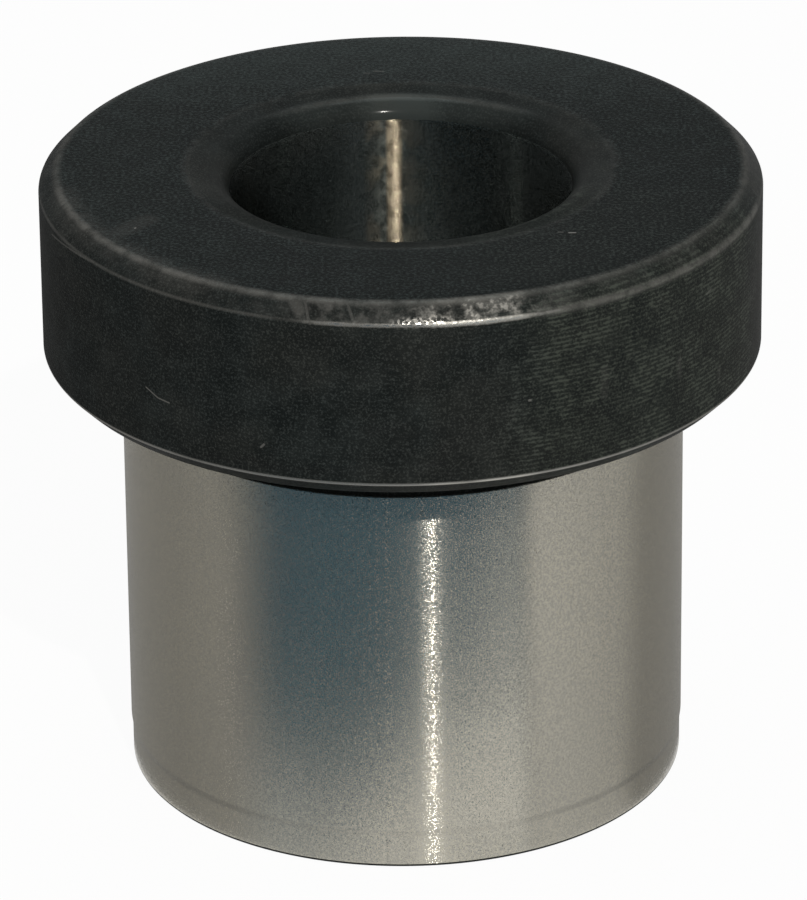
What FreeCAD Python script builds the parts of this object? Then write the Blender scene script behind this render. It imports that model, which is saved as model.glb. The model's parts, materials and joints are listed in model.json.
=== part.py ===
import FreeCAD, Part
import math
import os

# Headed press-fit drill bushing, turned in one piece from steel bar.
# It stands on the lower end of its shank. The origin is the centre of that
# end face, +Z runs up the bore towards the head, and lengths are in mm.

# Driving dimensions of the head
HEAD_DIAMETER = 20.3
HEAD_THICKNESS = 5.6
HEAD_TOP_CHAMFER = 0.48
HEAD_UNDER_CHAMFER = 0.40

# Driving dimensions of the shank that is pressed into the jig plate
SHANK_DIAMETER = 15.92
SHANK_LENGTH = 12.5

# The pilot at the shank's lower end is ground a little smaller, so that the
# bushing starts square in its hole
PILOT_LENGTH = 1.2
PILOT_UNDERSIZE = 0.08
PILOT_TAPER_LENGTH = 0.22
END_EDGE_RADIUS = 0.10

# The relief groove under the head, where the grinding wheel runs out. It is
# cut by a round-nosed tool that plunges at the head and feeds down the shank
RELIEF_WIDTH = 1.0
RELIEF_DEPTH = 0.3
RELIEF_NOSE_RADIUS = 0.4

# The guide bore, with a plain chamfer below. Its mouth in the head is rounded,
# and a shallow cone leads in to the rounding from the top face
BORE_DIAMETER = 9.6
MOUTH_RADIUS = 0.67
LEAD_IN_WIDTH = 0.58
LEAD_IN_DEPTH = 0.12
BORE_EXIT_CHAMFER = 0.4

# Radii and heights that follow from the driving dimensions
head_radius = HEAD_DIAMETER / 2
shank_radius = SHANK_DIAMETER / 2
bore_radius = BORE_DIAMETER / 2
pilot_radius = shank_radius - PILOT_UNDERSIZE / 2
relief_radius = shank_radius - RELIEF_DEPTH
seat_height = SHANK_LENGTH
relief_bottom = seat_height - RELIEF_WIDTH
top_height = SHANK_LENGTH + HEAD_THICKNESS
mouth_radius_out = bore_radius + MOUTH_RADIUS
mouth_top = top_height - LEAD_IN_DEPTH
mouth_bottom = mouth_top - MOUTH_RADIUS

# Two points closer than this are one point
SAME_POINT = 1e-6


def at(radius, height):
    """A point of the half section, which lies in the XZ plane."""
    return FreeCAD.Vector(radius, 0, height)


class Outline:
    """A chain of lines and arcs, drawn as a turning tool would run."""

    def __init__(self, start):
        self.start = start
        self.point = start
        self.edges = []

    def line_to(self, radius, height):
        """A straight run to the given point, or nothing if it is already there."""
        end = at(radius, height)
        if not end.isEqual(self.point, SAME_POINT):
            self.edges.append(Part.LineSegment(self.point, end).toShape())
            self.point = end

    def arc_to(self, radius, height, centre_radius, centre_height):
        """The short way round the given centre, to the given point."""
        centre = at(centre_radius, centre_height)
        end = at(radius, height)
        bisector = (self.point - centre) + (end - centre)
        size = (end - centre).Length
        middle = centre + bisector.normalize() * size
        self.edges.append(Part.Arc(self.point, middle, end).toShape())
        self.point = end

    def closed_face(self):
        self.line_to(self.start.x, self.start.z)
        return Part.Face(Part.Wire(self.edges))


def draw_pilot_and_shank(outline):
    """The end face, its rounded edge, the pilot, its taper and the ground fit."""
    outline.line_to(pilot_radius - END_EDGE_RADIUS, 0)
    outline.arc_to(
        pilot_radius, END_EDGE_RADIUS,
        pilot_radius - END_EDGE_RADIUS, END_EDGE_RADIUS,
    )
    outline.line_to(pilot_radius, PILOT_LENGTH - PILOT_TAPER_LENGTH)
    outline.line_to(shank_radius, PILOT_LENGTH)
    outline.line_to(shank_radius, relief_bottom)


def draw_relief_groove(outline):
    """The groove that the nose leaves: up from the shank's ground edge, along
    the groove's floor, and round into the seat under the head."""
    nose_centre = relief_radius + RELIEF_NOSE_RADIUS
    wall_depth = min(RELIEF_DEPTH, RELIEF_NOSE_RADIUS)
    rise = math.sqrt(RELIEF_NOSE_RADIUS ** 2 - (RELIEF_NOSE_RADIUS - wall_depth) ** 2)
    low = relief_bottom + rise
    high = seat_height - RELIEF_NOSE_RADIUS
    outline.line_to(relief_radius + wall_depth, relief_bottom)
    outline.arc_to(relief_radius, low, nose_centre, low)
    outline.line_to(relief_radius, high)
    outline.arc_to(nose_centre, seat_height, nose_centre, high)


def draw_head(outline):
    """The seat under the head, the rim between its chamfers, and the top face."""
    outline.line_to(head_radius - HEAD_UNDER_CHAMFER, seat_height)
    outline.line_to(head_radius, seat_height + HEAD_UNDER_CHAMFER)
    outline.line_to(head_radius, top_height - HEAD_TOP_CHAMFER)
    outline.line_to(head_radius - HEAD_TOP_CHAMFER, top_height)
    outline.line_to(mouth_radius_out + LEAD_IN_WIDTH, top_height)


def draw_bore(outline):
    """The lead-in, the rounding that guides the drill, and the straight bore."""
    outline.line_to(mouth_radius_out, mouth_top)
    outline.arc_to(bore_radius, mouth_bottom, mouth_radius_out, mouth_bottom)
    outline.line_to(bore_radius, BORE_EXIT_CHAMFER)


def make_bushing():
    outline = Outline(at(bore_radius + BORE_EXIT_CHAMFER, 0))
    draw_pilot_and_shank(outline)
    draw_relief_groove(outline)
    draw_head(outline)
    draw_bore(outline)
    section = outline.closed_face()
    axis_point = FreeCAD.Vector(0, 0, 0)
    axis_direction = FreeCAD.Vector(0, 0, 1)
    return section.revolve(axis_point, axis_direction, 360)


bushing = make_bushing()
os.makedirs("parts", exist_ok=True)
bushing.exportStep(os.path.join("parts", "drill_bushing.step"))

print("solids", len(bushing.Solids), "valid", bushing.isValid())
print("volume mm3", round(bushing.Volume, 2))
print("height", round(bushing.BoundBox.ZMax, 4), "across", round(bushing.BoundBox.XLength, 4))
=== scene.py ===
# %% [markdown]
# # A headed drill bushing
#
# A drill bushing is a hard steel sleeve that guides a drill. It is pressed
# into a plate as far as its head, and the rounded mouth in the head leads the
# drill into the bore. The whole thing is turned from one bar and hardened
# black, and then only the shank is ground bright. In this lesson the piece is
# turned ring by ring, as a lathe would do it, and then gets three finishes:
# the black oxide of the head, the ground steel of the shank, and the honed
# bore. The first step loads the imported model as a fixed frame, so that
# everything else can be put at its true place.

# %% Load the frame
import json
import math

import bmesh
import bpy
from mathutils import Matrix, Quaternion, Vector


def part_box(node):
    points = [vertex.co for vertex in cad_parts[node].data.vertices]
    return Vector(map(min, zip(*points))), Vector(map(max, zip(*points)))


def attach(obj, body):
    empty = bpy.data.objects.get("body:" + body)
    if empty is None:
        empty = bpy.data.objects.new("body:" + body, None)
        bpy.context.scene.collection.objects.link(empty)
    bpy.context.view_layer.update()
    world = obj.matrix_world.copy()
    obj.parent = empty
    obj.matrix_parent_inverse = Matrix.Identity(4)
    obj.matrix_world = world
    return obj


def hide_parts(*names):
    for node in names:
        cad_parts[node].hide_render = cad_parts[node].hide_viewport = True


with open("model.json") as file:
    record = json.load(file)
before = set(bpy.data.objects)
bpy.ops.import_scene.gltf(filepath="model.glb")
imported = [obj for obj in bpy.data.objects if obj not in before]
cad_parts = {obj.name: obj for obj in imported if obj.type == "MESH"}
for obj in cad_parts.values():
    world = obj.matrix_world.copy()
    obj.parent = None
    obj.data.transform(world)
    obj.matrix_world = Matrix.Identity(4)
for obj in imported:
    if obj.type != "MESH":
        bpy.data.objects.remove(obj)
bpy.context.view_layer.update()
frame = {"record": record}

# %% [markdown]
# ## The sizes
#
# The radii and heights that matter are read from the frame: the outside from
# the node's box, the shank, the bore and the seat from the places where the
# bushing is mounted. The small ones, such as chamfers, aren't written there,
# so they are named here. Everything is worked out in millimetres, because
# that is how a lathe hand thinks, and turned into metres where Blender needs
# them.

# %% Read the sizes
MM = 0.001

bushing_low, bushing_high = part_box("drill_bushing")
mounts = {mount["name"]: mount for mount in frame["record"]["mounts"]}

top_height = bushing_high.z / MM
head_radius = bushing_high.x / MM
seat_height = mounts["head_seat"]["pos_m"][2] / MM
shank_radius = mounts["press_shank"]["dims"]["r_mm"]
bore_radius = mounts["guide_bore"]["dims"]["r_mm"]

HEAD_TOP_CHAMFER = 0.48
HEAD_UNDER_CHAMFER = 0.40
MOUTH_RADIUS = 0.67
LEAD_IN_WIDTH = 0.58
LEAD_IN_DEPTH = 0.12
BORE_EXIT_CHAMFER = 0.4
RELIEF_WIDTH = 1.0
RELIEF_DEPTH = 0.3
RELIEF_NOSE_RADIUS = 0.4
PILOT_LENGTH = 1.2
PILOT_UNDERSIZE = 0.04
PILOT_TAPER_LENGTH = 0.22
END_EDGE_RADIUS = 0.10

pilot_radius = shank_radius - PILOT_UNDERSIZE
relief_radius = shank_radius - RELIEF_DEPTH
relief_bottom = seat_height - RELIEF_WIDTH
mouth_edge = bore_radius + MOUTH_RADIUS
lead_in_edge = mouth_edge + LEAD_IN_WIDTH
mouth_top = top_height - LEAD_IN_DEPTH
mouth_bottom = mouth_top - MOUTH_RADIUS
side_top = top_height - HEAD_TOP_CHAMFER
side_bottom = seat_height + HEAD_UNDER_CHAMFER
print("radii in mm: head", head_radius, "shank", shank_radius, "bore", bore_radius)

# %% [markdown]
# ## The camera
#
# The photograph was taken with a long lens from a little above. The camera's
# height, distance, lens and slight tilt were worked out from the curves that
# the bushing's circular edges draw in the picture. A camera that is made
# first lets every later step be compared with the photograph.

# %% Place the camera
CAMERA_ELEVATION = math.radians(24.10)
CAMERA_DISTANCE = 198.97
CAMERA_ROLL = math.radians(-0.596)
LOOK_AT_DROP = 3.265
IMAGE_HEIGHT = 900
FOCAL_PIXELS = 7022.0
SENSOR = 36.0
NEAREST_SEEN = 0.01
FARTHEST_SEEN = 10

eye = Vector((
    0,
    -CAMERA_DISTANCE * math.cos(CAMERA_ELEVATION) * MM,
    (seat_height + CAMERA_DISTANCE * math.sin(CAMERA_ELEVATION)) * MM,
))
look_at = Vector((0, 0, (seat_height - LOOK_AT_DROP) * MM))
aim = (look_at - eye).to_track_quat("-Z", "Y") @ Quaternion((0, 0, 1), CAMERA_ROLL)
bpy.ops.object.camera_add(location=eye, rotation=aim.to_euler())
camera = bpy.context.object
camera.name = "studio_camera"
camera.data.sensor_width = SENSOR
camera.data.lens = SENSOR * FOCAL_PIXELS / IMAGE_HEIGHT
camera.data.clip_start = NEAREST_SEEN
camera.data.clip_end = FARTHEST_SEEN
bpy.context.scene.camera = camera
print("lens", round(camera.data.lens, 1), "mm at", [round(v, 4) for v in eye])

# %% [markdown]
# ## Turning the bushing
#
# The real part is a solid of revolution: every corner is a ring. It could be
# a half section that is spun, or a stack of cylinders joined together. Here
# one ring of edges is extruded again and again, moved up and scaled to the
# next radius, exactly as the tool runs along the bar. Nothing overlaps then,
# and each ring stays where it can be picked out later by its radius and
# height. Round corners are short arcs of rings.

# %% Tools for turning
RING_POINTS = 480
ring = {"radius": 0.0, "height": 0.0}


def start_ring(radius, height):
    """The open ring of edges that the turning starts from."""
    bpy.ops.object.select_all(action="DESELECT")
    bpy.ops.mesh.primitive_circle_add(
        vertices=RING_POINTS, radius=radius * MM, location=(0, 0, height * MM),
    )
    ring.update(radius=radius, height=height)
    bpy.ops.object.mode_set(mode="EDIT")
    bpy.ops.mesh.select_mode(type="EDGE")
    bpy.ops.mesh.select_all(action="SELECT")


def turn_to(radius, height):
    """Extrude the open ring to the next radius and height."""
    rise = (0, 0, (height - ring["height"]) * MM)
    bpy.ops.mesh.extrude_region_move(TRANSFORM_OT_translate={"value": rise})
    growth = radius / ring["radius"]
    if growth != 1:
        bpy.ops.transform.resize(
            value=(growth, growth, 1), center_override=(0, 0, height * MM),
        )
    ring.update(radius=radius, height=height)


def turn_arc(centre_radius, centre_height, radius, start, end, steps):
    """Turn round a corner. Angles are in degrees, from straight out, upwards."""
    for step in range(1, steps + 1):
        angle = math.radians(start + (end - start) * step / steps)
        turn_to(
            centre_radius + radius * math.cos(angle),
            centre_height + radius * math.sin(angle),
        )


def turn_straight(radius, height, steps):
    """Turn to a radius and height in a straight line of equal steps."""
    start_radius, start_height = ring["radius"], ring["height"]
    for step in range(1, steps + 1):
        turn_to(
            start_radius + (radius - start_radius) * step / steps,
            start_height + (height - start_height) * step / steps,
        )


# %% [markdown]
# The tool starts at the inner edge of the lower end face. It runs out and
# round the end edge, up the pilot and the shank, into the relief groove under
# the head, over the head, and down through the mouth and the bore. The relief
# groove's lower wall is part of the tool's round nose, so its arc starts
# where the nose meets the shank.

# %% Turn the outside
END_STEPS = 5
SIDE_STEPS = 8
NOSE_STEPS = 6
FACE_STEPS = 4
MOUTH_STEPS = 16

start_ring(bore_radius + BORE_EXIT_CHAMFER, 0)
turn_to(pilot_radius - END_EDGE_RADIUS, 0)
turn_arc(pilot_radius - END_EDGE_RADIUS, END_EDGE_RADIUS, END_EDGE_RADIUS, -90, 0, END_STEPS)
turn_to(pilot_radius, PILOT_LENGTH - PILOT_TAPER_LENGTH)
turn_to(shank_radius, PILOT_LENGTH)
turn_straight(shank_radius, relief_bottom, SIDE_STEPS)

nose_centre = relief_radius + RELIEF_NOSE_RADIUS
nose_start = math.degrees(math.acos(1 - RELIEF_DEPTH / RELIEF_NOSE_RADIUS))
nose_rise = RELIEF_NOSE_RADIUS * math.sin(math.radians(nose_start))
nose_low = relief_bottom + nose_rise
nose_high = seat_height - RELIEF_NOSE_RADIUS
turn_arc(nose_centre, nose_low, RELIEF_NOSE_RADIUS, 180 + nose_start, 180, NOSE_STEPS)
turn_to(relief_radius, nose_high)
turn_arc(nose_centre, nose_high, RELIEF_NOSE_RADIUS, 180, 90, NOSE_STEPS)

# %% Turn the head, the mouth and the bore
turn_to(head_radius - HEAD_UNDER_CHAMFER, seat_height)
turn_to(head_radius, side_bottom)
turn_straight(head_radius, side_top, SIDE_STEPS)
turn_to(head_radius - HEAD_TOP_CHAMFER, top_height)
turn_straight(lead_in_edge, top_height, FACE_STEPS)
turn_to(mouth_edge, mouth_top)
turn_arc(mouth_edge, mouth_bottom, MOUTH_RADIUS, 90, 180, MOUTH_STEPS)
turn_to(bore_radius, BORE_EXIT_CHAMFER)
bpy.ops.mesh.select_all(action="DESELECT")
bpy.ops.mesh.select_non_manifold(extend=False)
bpy.ops.mesh.bridge_edge_loops()
bpy.ops.mesh.select_all(action="SELECT")
bpy.ops.mesh.normals_make_consistent(inside=False)
bpy.ops.object.mode_set(mode="OBJECT")
bushing = bpy.context.object
bushing.name = "turned_bushing"
bpy.ops.object.transform_apply(location=True, rotation=True, scale=True)
print("turned", len(bushing.data.polygons), "faces")

# %% [markdown]
# ## Breaking the sharp edges
#
# No real edge is perfectly sharp. Tumbling and handling leave a tiny round on
# each, and that round catches the light, which is most of what makes a turned
# part look real. The rings at the corners are picked by radius and height and
# bevelled by a few hundredths of a millimetre.

# %% Bevel the corner rings
SAME_RING = 0.004


def on_ring(point, radius, height):
    """True if a mesh point lies on the ring with this radius and height."""
    out = math.hypot(point.x, point.y) / MM
    return abs(out - radius) < SAME_RING and abs(point.z / MM - height) < SAME_RING


def select_ring(radius, height):
    """Select the edges that run round one ring. Needs edit mode."""
    bpy.ops.mesh.select_all(action="DESELECT")
    mesh = bmesh.from_edit_mesh(bushing.data)
    for edge in mesh.edges:
        if all(on_ring(vert.co, radius, height) for vert in edge.verts):
            edge.select_set(True)
    bmesh.update_edit_mesh(bushing.data)


def break_edge(radius, height, width, segments=3):
    """Round a corner ring off by width, measured along both faces."""
    select_ring(radius, height)
    bpy.ops.mesh.bevel(
        offset_type="OFFSET", offset=width * MM, segments=segments,
        profile=0.5, affect="EDGES", clamp_overlap=True,
    )


SOFT_BREAK = 0.12
RIM_BREAK = 0.08
TAPER_BREAK = 0.05
UNDER_BREAK = 0.04
FINE_BREAK = 0.03

bpy.ops.object.mode_set(mode="EDIT")
bpy.ops.mesh.select_mode(type="EDGE")
break_edge(head_radius - HEAD_TOP_CHAMFER, top_height, SOFT_BREAK, 4)
break_edge(head_radius, side_top, RIM_BREAK)
break_edge(head_radius, side_bottom, UNDER_BREAK)
break_edge(head_radius - HEAD_UNDER_CHAMFER, seat_height, FINE_BREAK)
break_edge(lead_in_edge, top_height, SOFT_BREAK)
break_edge(shank_radius, relief_bottom, FINE_BREAK)
break_edge(shank_radius, PILOT_LENGTH, TAPER_BREAK)
break_edge(pilot_radius, PILOT_LENGTH - PILOT_TAPER_LENGTH, TAPER_BREAK)
break_edge(bore_radius, BORE_EXIT_CHAMFER, FINE_BREAK)
break_edge(bore_radius + BORE_EXIT_CHAMFER, 0, FINE_BREAK)
bpy.ops.object.mode_set(mode="OBJECT")
print("with broken edges", len(bushing.data.polygons), "faces")

# %% Smooth shading
SMOOTH_ANGLE = math.radians(38)
bpy.ops.object.select_all(action="DESELECT")
bushing.select_set(True)
bpy.context.view_layer.objects.active = bushing
bpy.ops.object.shade_smooth_by_angle(angle=SMOOTH_ANGLE)
bpy.ops.object.modifier_add(type="WEIGHTED_NORMAL")
bushing.modifiers[-1].keep_sharp = True
bpy.ops.object.modifier_apply(modifier=bushing.modifiers[-1].name)

# %% [markdown]
# ## Shader maths in plain expressions
#
# A finish is a tree of nodes. Drawing it by hand is clear for five nodes and
# hopeless for fifty, so two small classes write it from expressions. A Value
# is one number that changes over the surface, and adding or multiplying two
# of them adds the Math node. A Finish holds one material and adds any other
# node by its type, its settings and what goes into its sockets.


# %% A value and a finish
class Value:
    """A socket with a number, or a colour or place, that varies over the surface."""

    def __init__(self, finish, socket):
        self.finish = finish
        self.socket = socket

    def maths(self, operation, *inputs):
        sockets = dict(zip(("Value", "Value_001"), inputs))
        return self.finish.node("Math", {"operation": operation}, sockets)

    def __add__(self, other):
        return self.maths("ADD", self, other)

    __radd__ = __add__

    def __sub__(self, other):
        return self.maths("SUBTRACT", self, other)

    def __rsub__(self, other):
        return self.maths("SUBTRACT", other, self)

    def __mul__(self, other):
        return self.maths("MULTIPLY", self, other)

    __rmul__ = __mul__

    def __truediv__(self, other):
        return self.maths("DIVIDE", self, other)

    def __rtruediv__(self, other):
        return self.maths("DIVIDE", other, self)

    def __abs__(self):
        return self.maths("ABSOLUTE", self)

    def least(self, other):
        return self.maths("MINIMUM", self, other)

    def most(self, other):
        return self.maths("MAXIMUM", self, other)

    def root(self):
        return self.maths("SQRT", self)

    def sine(self):
        return self.maths("SINE", self)

    def arcsine(self):
        return self.maths("ARCSINE", self)

    def fade(self, low, high):
        """0 at low, 1 at high, smooth in between; low may be the larger."""
        return self.finish.node(
            "MapRange", {"interpolation_type": "SMOOTHSTEP"},
            {"Value": self, "From Min": low, "From Max": high}, "Result",
        )

    def between(self, low, high, soft):
        """1 from low to high, and 0 further out than soft on either side."""
        return self.fade(low - soft, low) * self.fade(high + soft, high)


class Finish:
    """A material and its nodes."""

    def __init__(self, name):
        self.material = bpy.data.materials.new(name)
        self.material.use_nodes = True
        self.tree = self.material.node_tree
        self.shader = self.tree.nodes["Principled BSDF"]

    def feed(self, socket, value):
        """Link a Value into a socket, or set it to a plain number or colour."""
        if isinstance(value, Value):
            self.tree.links.new(value.socket, socket)
        else:
            socket.default_value = value

    def node(self, kind, settings=None, sockets=None, gives=None):
        """Add a node: its type, its settings, what its sockets get, and which
        of its outputs is given back."""
        made = self.tree.nodes.new("ShaderNode" + kind)
        for name, value in (settings or {}).items():
            setattr(made, name, value)
        for name, value in (sockets or {}).items():
            socket = next(s for s in made.inputs if s.identifier == name)
            self.feed(socket, value)
        output = made.outputs[0]
        if gives:
            output = next(s for s in made.outputs if s.identifier == gives)
        return Value(self, output)

    def set(self, **inputs):
        """Set or link the shader's own sockets, with _ for a space."""
        for name, value in inputs.items():
            self.feed(self.shader.inputs[name.replace("_", " ")], value)


# %% [markdown]
# Every pattern on the bushing follows its turning, so it needs to know a
# point's height, its distance from the axis and its place round the axis. The
# object coordinates give all three. Noise that is squeezed along the height
# and stretched round the axis makes grinding and turning lines, a mask that
# is high near one ring says where that edge is worn, and a mask along a short
# line is a scratch.


# %% Patterns that follow the turning
class Place:
    """Where a point of the surface is, in millimetres and degrees."""

    def __init__(self, finish):
        self.finish = finish
        coords = finish.node("TexCoord", gives="Object")
        self.point = finish.node(
            "VectorMath", {"operation": "SCALE"}, {"Vector": coords, "Scale": 1 / MM},
        )
        self.x, self.y, self.height = [
            finish.node("SeparateXYZ", sockets={"Vector": self.point}, gives=axis)
            for axis in "XYZ"
        ]
        self.radius = (self.x * self.x + self.y * self.y).root()
        # degrees round the axis from the front, positive to the right
        turned = self.x.maths("ARCTAN2", self.x, 0 - self.y)
        self.azimuth = turned * math.degrees(1)

    def noise(self, round_scale, height_scale, detail=2.0, roughness=0.5, seed=0.0):
        """Noise with so many patches a millimetre across and along the height."""
        squeezed = self.finish.node(
            "Mapping", None,
            {
                "Vector": self.point,
                "Scale": (round_scale, round_scale, height_scale),
                "Location": (seed, seed, seed),
            },
        )
        return self.finish.node(
            "TexNoise", None,
            {"Vector": squeezed, "Scale": 1.0, "Detail": detail, "Roughness": roughness},
            "Fac",
        )

    def rings(self, round_scale, out_scale, detail=2.0, seed=0.0):
        """Noise that runs in circles on a flat face: squeezed along the radius."""
        circle = self.finish.node(
            "CombineXYZ", None,
            {
                "X": self.x / self.radius * (round_scale * head_radius) + seed,
                "Y": self.y / self.radius * (round_scale * head_radius),
                "Z": self.radius * out_scale,
            },
        )
        return self.finish.node(
            "TexNoise", None, {"Vector": circle, "Scale": 1.0, "Detail": detail}, "Fac",
        )

    def near_ring(self, radius, height, reach):
        """1 on the ring with this radius and height, 0 further off than reach."""
        out = self.radius - radius
        up = self.height - height
        away = (out * out + up * up).root()
        return away.fade(reach, 0.0)

    def tipped(self, slope, helix=0.0):
        """The surface's normal, tipped up by a slope. Lines that climb like a
        thread tip it sideways too, by that share of the slope which helix gives."""
        normal = self.finish.node("NewGeometry", gives="Normal")
        sideways = slope * helix / self.radius
        way = self.finish.node(
            "CombineXYZ", None, {"X": self.y * sideways, "Y": 0 - self.x * sideways, "Z": slope},
        )
        leaning = self.finish.node(
            "VectorMath", {"operation": "ADD"}, {"Vector": normal, "Vector_001": way},
        )
        return self.finish.node("VectorMath", {"operation": "NORMALIZE"}, {"Vector": leaning})

    def scratch(self, flat, start, end, width):
        """1 along a short line, 0 further off than width. On a flat face the
        ends are an azimuth and a radius, elsewhere an azimuth and a height
        above the seat."""
        if flat:
            across, along = self.x, self.y
            ends = [
                (out * math.sin(math.radians(turn)), -out * math.cos(math.radians(turn)))
                for turn, out in (start, end)
            ]
        else:
            across, along = self.azimuth * math.radians(head_radius), self.height
            ends = [
                (math.radians(turn) * head_radius, seat_height + up) for turn, up in (start, end)
            ]
        (from_u, from_v), (to_u, to_v) = ends
        step_u, step_v = to_u - from_u, to_v - from_v
        length = step_u ** 2 + step_v ** 2
        share = ((across - from_u) * (step_u / length) + (along - from_v) * (step_v / length))
        share = share.most(0).least(1)
        off_u = across - from_u - share * step_u
        off_v = along - from_v - share * step_v
        return (off_u * off_u + off_v * off_v).root().fade(width, width * 0.3)


def blend_colours(finish, share, first, second):
    """The first colour where share is 0, the second where it is 1."""
    return finish.node(
        "Mix", {"data_type": "RGBA"},
        {"Factor_Float": share, "A_Color": first, "B_Color": second}, "Result_Color",
    )


def bump(finish, height, normal=None):
    """A bump from a height in millimetres."""
    sockets = {"Height": height, "Distance": MM, "Strength": 1.0}
    if normal:
        sockets["Normal"] = normal
    return finish.node("Bump", None, sockets)


# %% [markdown]
# ## Black oxide
#
# Hardening leaves the head a dull blue-black. It is a thin skin on steel, so
# it shines a little, shows the fine turning lines under it, and wears through
# to grey metal first along the edges of the chamfer. The bare metal isn't
# even: it is laid on most at the front, where the lamp's highlight falls on
# the chamfer, so there it is partly wear and partly painted highlight, and a
# pale band on the left is a painted sheen. A flat black would look like
# plastic, so the colour runs between a dark skin and a pale one, and one
# number, the lightness, gathers the grain, the lines and the clouds that
# choose between them, and painted light and shade too. The top face is seen
# at a low angle and shines more, so it is painted darker, as shade against
# that shine, and lighter towards its back, as a painted reflection. The side
# is painted in shade at its far left and painted lighter towards the right.
# The far side of the mouth is rubbed smooth by drills, with a painted halo
# beside the lamp's highlight and a painted highlight arc on its rim, and the
# near side of the lead-in stays dull.

# %% The black oxide finish
BLUE_SKIN = (0.0077, 0.0097, 0.0094, 1)
BROWN_SKIN = (0.0094, 0.0108, 0.0102, 1)
SHADED_SKIN = (0.0038, 0.0056, 0.0053, 1)
BLUE_PALE = (0.039, 0.046, 0.0445, 1)
BROWN_PALE = (0.044, 0.048, 0.044, 1)
TOP_PALE = (0.036, 0.046, 0.045, 1)

oxide = Finish("black_oxide")
place = Place(oxide)
mottle = place.noise(0.9, 0.9, detail=4.0)
tint = place.noise(0.35, 0.35, detail=2.0, seed=7.0).fade(0.35, 0.65)
grain = place.noise(17.0, 17.0, detail=2.0, roughness=0.6, seed=5.0)
on_top = place.height.fade(top_height - 0.02, top_height - 0.005)
# Painted shade: the side of the head darkens towards its far left edge, which is also made
# rougher.
shaded_far_left = place.x.fade(-6.8, -9.0) * (1 - on_top) * 0.5
skin = blend_colours(oxide, tint, BLUE_SKIN, BROWN_SKIN)
# The top face gets a darker skin, painted shade against its shine, and the far left of the side
# gets part of it as painted shade.
skin = blend_colours(oxide, on_top.most(shaded_far_left), skin, SHADED_SKIN)
pale = blend_colours(oxide, tint, BLUE_PALE, BROWN_PALE)
pale = blend_colours(oxide, on_top, pale, TOP_PALE)

# %% Turning lines, grain, and painted light and shade
FEED = 0.128
feed_lines = (place.height * (2 * math.pi / FEED)).sine()
breaks = place.noise(5.6, 9.0, detail=3.0, roughness=0.6, seed=1.0)
turning = breaks + feed_lines * 0.11
facing = place.rings(0.5, 8.0, detail=2.0, seed=2.0)
lines = turning * (1 - on_top) + facing * on_top
rough_side = place.azimuth.between(26, 66, 16) * place.height.between(side_bottom, side_top, 0.8)
smudges = place.noise(1.1, 1.1, detail=3.0, seed=15.0).fade(0.42, 0.66)
coarseness = 0.10 + rough_side * (0.28 + smudges * 0.85)
dashes = turning.fade(0.46, 0.72) * coarseness * (0.2 + grain * 1.6)
dashes = dashes * (1 - on_top)
top_grain = place.noise(10.0, 10.0, detail=3.0, roughness=0.7, seed=19.0)
side_flecks = grain.fade(0.46, 0.72) * (1 - on_top) * 0.62
flecks = side_flecks + top_grain.fade(0.40, 0.70) * on_top * 0.85
# Painted reflection: the top face is lighter towards its back, and a little towards the left.
painted_light_at_back = on_top * (place.y.fade(2, 10) * 0.40 + place.x.fade(-3, -9) * 0.07)
# Random clouds and smudges, plus painted light: the side grows lighter from the far left towards
# the right.
clouds_and_side_light = (mottle - 0.5) * 0.3 + smudges * 0.12 + place.x.fade(-6.5, 1.8) * (1 - on_top) * 0.06
# on_top darkens the top face: painted shade against its shine.
lightness = flecks + dashes + clouds_and_side_light + painted_light_at_back - on_top * 0.16

# %% Wear and painted highlights along the edges
patches = place.noise(2.2, 2.2, detail=3.0, roughness=0.6, seed=3.0)
glitter = place.noise(9.0, 9.0, detail=1.0, seed=4.0).fade(0.40, 0.62)
coarse = place.noise(0.45, 0.45, detail=2.0, seed=8.0)
top_edge = head_radius - HEAD_TOP_CHAMFER
front = place.azimuth.between(-20, 22, 14)
left = place.azimuth.between(-75, -34, 10)
right = place.azimuth.between(26, 75, 8)
upper_edge = place.near_ring(top_edge, top_height, 0.24)
upper_share = 0.10 + left * 0.12 + front * 0.10
upper_wear = upper_edge * upper_share * (0.5 + patches.fade(0.30, 0.66) * 0.8)
# Painted sheen: a pale band of bare metal below the top chamfer edge on the left.
painted_left_sheen = place.near_ring(top_edge, top_height, 0.75) * left * patches.fade(0.2, 0.6) * 0.07
# Painted highlight: the bare metal on the chamfer's lower edge is laid thickest, and brighter
# from 6 to 18 degrees, where the lamp's highlight falls.
brightest = place.azimuth.between(-8, 18, 12)
burnish_and_highlight = place.azimuth.between(6, 18, 4)
lower_edge = place.near_ring(head_radius, side_top, 0.085 + patches * burnish_and_highlight * 0.065)
lower_wear_and_highlight = lower_edge * (0.13 + brightest * (0.55 + glitter * 0.5)) * coarse.fade(0.25, 0.5)
lower_wear_and_highlight = lower_wear_and_highlight.most(lower_edge * burnish_and_highlight * (0.75 + glitter * 0.25))
# Knocks and painted glints on the edge, just left of the lamp's highlight.
knocks_and_glints = place.near_ring(head_radius - 0.05, side_top + 0.07, 0.22)
knocks_and_glints = knocks_and_glints * place.azimuth.between(1, 5, 4) * glitter
dull_edge = place.near_ring(head_radius, side_top, 0.20) * right
dull_edge = dull_edge * (0.10 + patches.fade(0.3, 0.6) * 0.12)
under_wear = place.near_ring(head_radius, side_bottom, 0.075) * 0.8 * coarse.fade(0.2, 0.5)
on_chamfer = place.radius.between(top_edge, head_radius, 0.04)
on_chamfer = on_chamfer * place.height.between(side_top, top_height - 0.03, 0.04)
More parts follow.
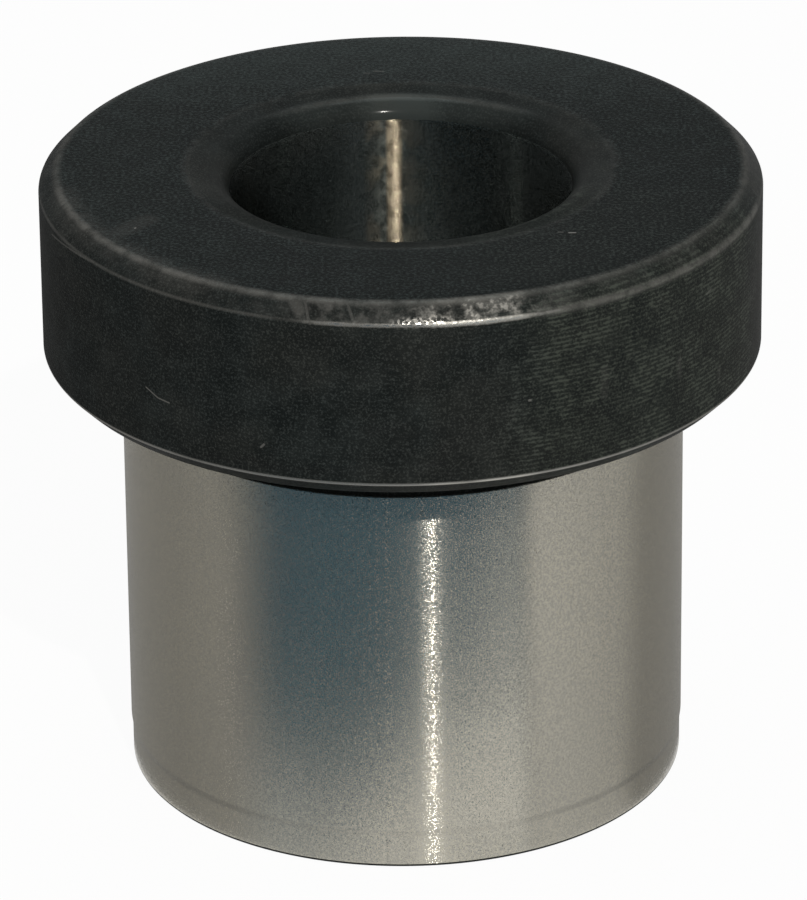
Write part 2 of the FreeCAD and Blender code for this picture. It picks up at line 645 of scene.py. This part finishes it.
# Glints on the chamfer face, placed where the lamp's highlight falls: painted highlight.
glints = glitter * place.azimuth.between(4, 17, 6) * 0.35
blotches_and_glints = on_chamfer * (0.03 + brightest * 0.17 + glints) * patches.fade(0.36, 0.72)
ring_line = place.near_ring(lead_in_edge, top_height, 0.20) * patches.fade(0.3, 0.6) * 0.03
wear_and_highlight = upper_wear.most(lower_wear_and_highlight).most(under_wear).most(blotches_and_glints)
wear_and_highlight = wear_and_highlight.most(painted_left_sheen).most(dull_edge).most(ring_line).most(knocks_and_glints)

# %% Scratches and knocks
SIDE_MARKS = [
    ((-43.6, 2.13), (-41.1, 1.94), 0.03, 0.28),
    ((-41.1, 1.94), (-38.8, 1.90), 0.03, 0.26),
    ((-22.3, 1.24), (-21.8, 1.33), 0.045, 0.24),
    ((32.6, 3.08), (32.6, 2.28), 0.18, 0.025),
    ((48.2, 2.54), (48.2, 2.03), 0.12, 0.035),
    ((59.2, 1.55), (59.2, 1.10), 0.12, 0.03),
    ((55.2, 4.04), (56.4, 4.10), 0.05, 0.10),
    ((19.6, 2.62), (19.8, 2.62), 0.05, 0.20),
    ((-72.0, 4.88), (-64.0, 5.02), 0.04, 0.12),
    ((-64.0, 5.02), (-56.0, 5.12), 0.05, 0.14),
    ((-17.6, 5.58), (-16.0, 5.33), 0.22, 0.12),
    ((-15.5, 5.55), (-14.1, 5.07), 0.06, 0.12),
    ((-8.8, 5.60), (-7.3, 5.15), 0.06, 0.10),
]
TOP_MARKS = [
    ((42.1, 6.85), (43.1, 6.96), 0.045, 0.55),
    ((40.6, 6.62), (41.2, 6.70), 0.045, 0.16),
    ((-58.7, 8.53), (-58.6, 8.55), 0.04, 0.60),
    ((-61.0, 8.0), (-58.0, 9.3), 0.5, 0.035),
    ((184.0, 6.90), (186.0, 6.95), 0.06, 0.12),
    ((187.5, 6.80), (188.5, 6.85), 0.05, 0.10),
]
outside = place.radius.fade(top_edge - 0.06, top_edge)
for flat, marks in ((False, SIDE_MARKS), (True, TOP_MARKS)):
    here = on_top if flat else outside
    for start, end, width, strength in marks:
        wear_and_highlight = wear_and_highlight.most(place.scratch(flat, start, end, width) * here * strength)

# %% The mouth
above_exit = place.height.fade(1.0, 2.0)
in_mouth = place.radius.fade(mouth_edge + 0.1, mouth_edge - 0.1) * above_exit
in_cone = place.radius.fade(lead_in_edge + 0.05, lead_in_edge - 0.15) * above_exit
polished = in_mouth * place.y.fade(3.4, 4.4)
dulled = in_cone * place.y.fade(-1.5, -4.0)
# Painted highlight: a pale arc of bare metal on the far rim of the mouth.
arc_radius = bore_radius + 0.71 * MOUTH_RADIUS
arc_height = mouth_bottom + 0.955 * MOUTH_RADIUS
painted_far_arc_highlight = place.near_ring(arc_radius, arc_height, 0.20) * place.y.fade(3.6, 4.9)
wear_and_highlight = wear_and_highlight.most(painted_far_arc_highlight * (0.35 + patches.fade(0.35, 0.6) * 0.65) * 0.08)
# Painted halo: the polished far side of the mouth is paler beside the lamp's highlight.
painted_streak_halo = place.x.between(-0.3, 0.4, 1.3) * (0.25 + patches * 0.7)
lightness = lightness * (1 - in_mouth * 0.3) + polished * (0.32 + painted_streak_halo)

# %% Put the skin together
ROUGH_PALE = (0.046, 0.053, 0.044, 1)
BARE_METAL = (0.38, 0.37, 0.345, 1)
# A brighter metal for the band where the lamp's highlight falls: painted highlight as well as
# burnish.
BURNISHED_HIGHLIGHT_METAL = (0.62, 0.60, 0.55, 1)
OXIDE_ROUGHNESS = 0.46
LINE_DEPTH = 0.003
WEAR_DEPTH = 0.004

pale = blend_colours(oxide, rough_side, pale, ROUGH_PALE)
colour = blend_colours(oxide, lightness, skin, pale)
bare_and_highlight_metal = blend_colours(oxide, burnish_and_highlight, BARE_METAL, BURNISHED_HIGHLIGHT_METAL)
colour = blend_colours(oxide, wear_and_highlight, colour, bare_and_highlight_metal)
shine = polished * 0.33 + front * wear_and_highlight * (0.26 - burnish_and_highlight * 0.12)
dullness = dulled * 0.3 + shaded_far_left * 0.25
relief = lines * LINE_DEPTH + grain * (0.002 + on_top * 0.005)
relief = relief * (1 - polished * 0.85) - wear_and_highlight * WEAR_DEPTH
oxide.set(
    Base_Color=colour,
    Metallic=wear_and_highlight * 0.9,
    Roughness=OXIDE_ROUGHNESS + (mottle - 0.5) * 0.14 - shine + dullness,
    Specular_IOR_Level=0.05,
    Normal=bump(oxide, relief),
)

# %% [markdown]
# ## Ground steel
#
# The shank is ground on a cylindrical grinder. The wheel leaves lines round
# it that are finer than the eye can see, so a lamp shows as one thin upright
# streak: the mirror image is sharp sideways and smeared up and down. The
# anisotropic shader does part of that, but its smear is too short and grows
# wide where it ends. The rest is a very fine grit that tips the surface's
# normal up and down only. Most of it tips a little and a few grains tip far,
# which is what the third power gives. A faint bump in every direction adds
# the streak's uneven edge, and small dull grains, a little darker and rougher
# than the rest, break it up and keep the shank from looking polished.

# %% The ground steel finish
GRIT_SLOPE = 43.0
COOL_STEEL = (0.445, 0.425, 0.36, 1)
WARM_STEEL = (0.47, 0.445, 0.37, 1)
DULL_STEEL = (0.405, 0.39, 0.34, 1)
HIGHLIGHT_STEEL = (0.52, 0.495, 0.42, 1)
TAPER_SHADE = (0.14, 0.14, 0.13, 1)

ground = Finish("ground_steel")
place = Place(ground)
grit = place.noise(45.0, 52.0, detail=0.0, seed=1.0) - 0.5
lean = grit * grit * grit * GRIT_SLOPE
speckle = place.noise(17.0, 17.0, detail=1.0, seed=6.0)
dull_grains = place.noise(14.0, 14.0, detail=1.0, seed=17.0).fade(0.36, 0.64)
cloud = place.noise(0.25, 0.25, detail=3.0, seed=9.0)
steel = blend_colours(ground, cloud.fade(0.3, 0.7), COOL_STEEL, WARM_STEEL)
steel = blend_colours(ground, dull_grains, steel, DULL_STEEL)
# Painted reflection: a brighter patch low on the shank, just right of the front.
painted_low_highlight = place.height.between(1.8, 4.0, 1.5) * place.azimuth.between(13, 21, 7) * 0.6
steel = blend_colours(ground, painted_low_highlight, steel, HIGHLIGHT_STEEL)
# Painted shade: a dark line along the taper at the pilot, stronger towards the sides.
painted_taper_shade = place.height.between(PILOT_LENGTH - 0.16, PILOT_LENGTH - 0.08, 0.12)
painted_taper_shade = painted_taper_shade * (0.12 + abs(place.azimuth).fade(15, 45) * 0.2)
steel = blend_colours(ground, painted_taper_shade, steel, TAPER_SHADE)
ground.set(
    Base_Color=steel,
    Metallic=1.0,
    Roughness=0.17 + dull_grains * 0.07,
    Anisotropic=1.0,
    Anisotropic_Rotation=0.25,
    Normal=bump(ground, speckle * 0.0007, place.tipped(lean)),
)

# %% [markdown]
# ## The honed bore
#
# The bore is honed after hardening, and the stone rounds the lower part of
# the mouth as well. It is dark because it sees almost nothing but itself, and
# it shows the lamp as a narrow streak on its far wall. The streak leans a
# little, because a hone climbs as it turns. Its grit tips the normal along
# such a thread. A warm, brighter strip is painted on the far wall where the
# lamp's streak shows, with blotches beside it where its halo shows: painted
# highlight. A paler patch just under the mouth is painted light. The rest has
# the same fine grain as the head.

# %% The honed bore finish
HONE_SLOPE = 120.0
HONE_HELIX = 0.107
COOL_BORE = (0.108, 0.127, 0.121, 1)
WARM_BORE = (0.130, 0.144, 0.130, 1)
DARK_GRAIN = (0.067, 0.080, 0.077, 1)
STREAK_HIGHLIGHT_STEEL = (0.25, 0.215, 0.155, 1)
PAINTED_LIGHT_STEEL = (0.29, 0.29, 0.27, 1)

honed = Finish("honed_bore")
place = Place(honed)
hone_grit = place.noise(60.0, 70.0, detail=0.0, seed=11.0) - 0.5
hone_lean = hone_grit * hone_grit * hone_grit * HONE_SLOPE
hone_speckle = place.noise(1.4, 1.4, detail=2.0, seed=13.0)
bore_cloud = place.noise(0.4, 0.4, detail=3.0, seed=12.0)
bore_grain = place.noise(14.0, 14.0, detail=2.0, roughness=0.6, seed=14.0).fade(0.35, 0.65)
bore_steel = blend_colours(honed, bore_cloud.fade(0.3, 0.7), COOL_BORE, WARM_BORE)
bore_steel = blend_colours(honed, bore_grain, bore_steel, DARK_GRAIN)
blotched = place.noise(1.3, 1.3, detail=2.0, seed=16.0).fade(0.42, 0.62)
far_wall = place.y.fade(0, 1)
# Painted highlight: a warm, brighter strip on the far wall where the lamp's streak shows, and
# blotches beside it where its halo shows.
painted_halo_blotches = place.x.between(-0.85, -0.4, 0.25) * (0.10 + blotched * 0.4) * place.height.fade(4, 14)
painted_halo_blotches = painted_halo_blotches.most(place.x.between(-0.1, 0.1, 0.9) * place.height.fade(9, 16) * blotched * 0.3)
painted_streak_strip = place.x.between(-0.34, -0.02, 0.13).most(painted_halo_blotches) * far_wall
bore_steel = blend_colours(honed, painted_streak_strip, bore_steel, STREAK_HIGHLIGHT_STEEL)
# Painted light: the far wall is paler just under the mouth, on the left.
painted_light_under_mouth = place.height.fade(mouth_bottom - 1.3, mouth_bottom) * far_wall
painted_light_under_mouth = painted_light_under_mouth * place.x.between(-2.6, -1.2, 1.2) * 0.12
bore_steel = blend_colours(honed, painted_light_under_mouth, bore_steel, PAINTED_LIGHT_STEEL)
beads = place.noise(4.0, 3.0, detail=1.0, seed=18.0).fade(0.36, 0.64)
honed.set(
    Base_Color=bore_steel,
    Metallic=0.95,
    Roughness=0.15 + beads * 0.10,
    Anisotropic=1.0,
    Anisotropic_Rotation=0.25,
    Normal=bump(honed, hone_speckle * 0.005, place.tipped(hone_lean, HONE_HELIX)),
)

# %% Give each zone its finish
for finish in (oxide, ground, honed):
    bushing.data.materials.append(finish.material)

BLACK, BRIGHT, HONED = 0, 1, 2
HONED_TOP = mouth_bottom + 0.15 * MOUTH_RADIUS
ground_top = relief_bottom + 0.01
ground_inside = pilot_radius - 0.03
for face in bushing.data.polygons:
    out = math.hypot(face.center.x, face.center.y) / MM
    up = face.center.z / MM
    on_shank = out > ground_inside and END_EDGE_RADIUS < up < ground_top
    in_bore = out < mouth_edge and BORE_EXIT_CHAMFER < up < HONED_TOP
    face.material_index = BRIGHT if on_shank else HONED if in_bore else BLACK
zones = [face.material_index for face in bushing.data.polygons]
print("zones", [zones.count(zone) for zone in (BLACK, BRIGHT, HONED)])

# %% [markdown]
# ## The studio
#
# The photograph has a plain white ground and one small lamp high on the right
# of the camera, with soft light all round. The floor is pale and is drawn
# nearly white for the camera and for mirrors, but it lights the bushing only
# as a pale floor would. A sheet of dark gauze stands round the bushing and
# lies on the floor in front of it. It is thick in front, which makes the dark
# band on the shank, and thin at the sides. Only mirrors see it. Two wide and
# weak lamps, on the left and high at the back, add pale lines on the edges.
#
# An upright cylinder turns a mirror image by twice the angle of the place
# that shows it. The thickness of the gauze is therefore worked out from the
# way a place of it is seen from the shank, and not from its own azimuth
# alone, so that each of its edges shows as an upright edge on the steel. What
# lies further out on the floor shows higher up on the shank.

# %% The floor
FLOOR_SIZE = 1.6
SHOWN_WHITE = 0.95
PAPER_GREY = (0.86, 0.86, 0.86, 1)
WHITE_TO = ("Is Camera Ray", "Is Glossy Ray", "Is Transmission Ray")

bpy.ops.object.select_all(action="DESELECT")
bpy.ops.mesh.primitive_plane_add(size=FLOOR_SIZE)
floor = bpy.context.object
floor.name = "studio_floor"
paper = Finish("pale_paper")
paper.set(Base_Color=PAPER_GREY, Roughness=0.9, Specular_IOR_Level=0.1)
rays = paper.tree.nodes.new("ShaderNodeLightPath")
seen = [Value(paper, rays.outputs[name]) for name in WHITE_TO]
shown = seen[0].most(seen[1]).most(seen[2]) * SHOWN_WHITE
glow = paper.node("Emission", None, {"Color": (1, 1, 1, 1), "Strength": 1.0})
mixed = paper.node(
    "MixShader", None,
    {"Fac": shown, "Shader": Value(paper, paper.shader.outputs[0]), "Shader_001": glow},
)
paper.feed(paper.tree.nodes["Material Output"].inputs["Surface"], mixed)
floor.data.materials.append(paper.material)

# %% The gauze
GAUZE_INNER = 8.0
GAUZE_OUTER = 120.0
GAUZE_HEIGHT = 90.0
GAUZE_LIFT = 0.05
GAUZE_POINTS = 180

bpy.ops.object.select_all(action="DESELECT")
bpy.ops.mesh.primitive_circle_add(
    vertices=GAUZE_POINTS, radius=GAUZE_INNER * MM, location=(0, 0, GAUZE_LIFT * MM),
)
gauze_sheet = bpy.context.object
gauze_sheet.name = "dark_gauze"
bpy.ops.object.mode_set(mode="EDIT")
bpy.ops.mesh.select_all(action="SELECT")
bpy.ops.mesh.extrude_region_move()
spread = GAUZE_OUTER / GAUZE_INNER
bpy.ops.transform.resize(value=(spread, spread, 1), center_override=(0, 0, GAUZE_LIFT * MM))
bpy.ops.mesh.extrude_region_move(TRANSFORM_OT_translate={"value": (0, 0, GAUZE_HEIGHT * MM)})
bpy.ops.object.mode_set(mode="OBJECT")
bpy.ops.object.transform_apply(location=True, rotation=True, scale=True)

# %% The gauze's thickness
SIDE_WEAVE = (0.09, 0.08, 0.065, 1)
FRONT_WEAVE = (0.035, 0.115, 0.19, 1)
NEAR_EDGE = 14.2
LEFT_THICKNESS = 0.61
RIGHT_THICKNESS = 0.20

gauze = Finish("dark_gauze")
place = Place(gauze)
nearness = shank_radius / place.radius
half_turn = place.azimuth * math.radians(1) * (0.5 + nearness * 0.5)
seen_way = place.azimuth + (half_turn.sine() * nearness).arcsine() * math.degrees(1)
facing_front = seen_way.fade(-87, -49) * seen_way.fade(57, 46)
thinner = 1 - place.azimuth.fade(14, 52) * 0.22 - place.radius.fade(18, 28) * 0.08
inner_edge = NEAR_EDGE + place.azimuth.fade(-14, 6) * 2.8 + place.azimuth.fade(0, 42) * 6
beyond = (place.radius - inner_edge).fade(-4, 4)
by_the_front = place.azimuth.between(-36, -2, 14) * place.radius.fade(11.5, 15.5) * 0.20
close_by = (place.azimuth.between(-36, -26, 26) * 0.36).most(by_the_front)
front_part = thinner * beyond + close_by * (1 - beyond)
lying = place.height.fade(6, 2)
left_side = LEFT_THICKNESS + seen_way.fade(-85, -115) * 0.08
right_side = RIGHT_THICKNESS + seen_way.fade(60, 105) * 0.18 + seen_way.fade(98, 118) * 0.31
to_right = place.azimuth.fade(-20, 20)
sides = (left_side * (1 - to_right) + right_side * to_right) * lying
thickness = facing_front * front_part + (1 - facing_front) * sides
weave = blend_colours(gauze, facing_front, SIDE_WEAVE, FRONT_WEAVE)
gauze.set(Base_Color=weave, Roughness=1.0, Specular_IOR_Level=0.0, Alpha=thickness)
gauze_sheet.data.materials.append(gauze.material)
gauze_sheet.visible_camera = False
gauze_sheet.visible_diffuse = False
gauze_sheet.visible_shadow = False

# %% The lamps
LAMP_DISTANCE = 350.0
AIM_HEIGHT = 10.0
WARM_LIGHT = (1, 0.96, 0.9)
AMBER_LIGHT = (1, 0.93, 0.88)
COOL_LIGHT = (0.75, 0.95, 1)


def add_lamp(name, azimuth, elevation, width, light, colour):
    """A round soft lamp that gives the bushing so much light, aimed at it. Its
    angles are in degrees and its width in millimetres."""
    azimuth = math.radians(azimuth)
    elevation = math.radians(elevation)
    middle = Vector((0, 0, AIM_HEIGHT * MM))
    level = LAMP_DISTANCE * math.cos(elevation) * MM
    spot = middle + Vector((
        level * math.sin(azimuth), -level * math.cos(azimuth),
        LAMP_DISTANCE * math.sin(elevation) * MM,
    ))
    turn = (middle - spot).to_track_quat("-Z", "Y").to_euler()
    bpy.ops.object.light_add(type="AREA", location=spot, rotation=turn)
    lamp = bpy.context.object
    lamp.name = name
    lamp.data.shape = "DISK"
    lamp.data.size = width * MM
    lamp.data.energy = light * math.pi * (LAMP_DISTANCE * MM) ** 2
    lamp.data.color = colour


add_lamp("key_lamp", 12.0, 42.5, width=8.0, light=1.6, colour=WARM_LIGHT)
add_lamp("side_lamp", -88.0, 42.0, width=70.0, light=0.07, colour=AMBER_LIGHT)
add_lamp("overhead_lamp", 180.0, 69.0, width=150.0, light=0.25, colour=COOL_LIGHT)

# %% The world
ROOM_LIGHT = (0.45, 0.45, 0.45, 1)
ROOM_SHOWN = (0.99, 0.99, 0.99, 1)
world = bpy.data.worlds.new("studio_room")
bpy.context.scene.world = world
world.use_nodes = True
room = world.node_tree
room_rays = room.nodes.new("ShaderNodeLightPath")
room_mix = room.nodes.new("ShaderNodeMix")
room_mix.data_type = "RGBA"
room.links.new(room_rays.outputs["Is Camera Ray"], room_mix.inputs[0])
room_mix.inputs[6].default_value = ROOM_LIGHT
room_mix.inputs[7].default_value = ROOM_SHOWN
room.links.new(room_mix.outputs[2], room.nodes["Background"].inputs["Color"])
bpy.context.scene.view_settings.view_transform = "Standard"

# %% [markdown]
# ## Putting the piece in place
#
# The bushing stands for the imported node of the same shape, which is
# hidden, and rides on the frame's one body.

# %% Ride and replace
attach(bushing, "root")
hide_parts("drill_bushing")
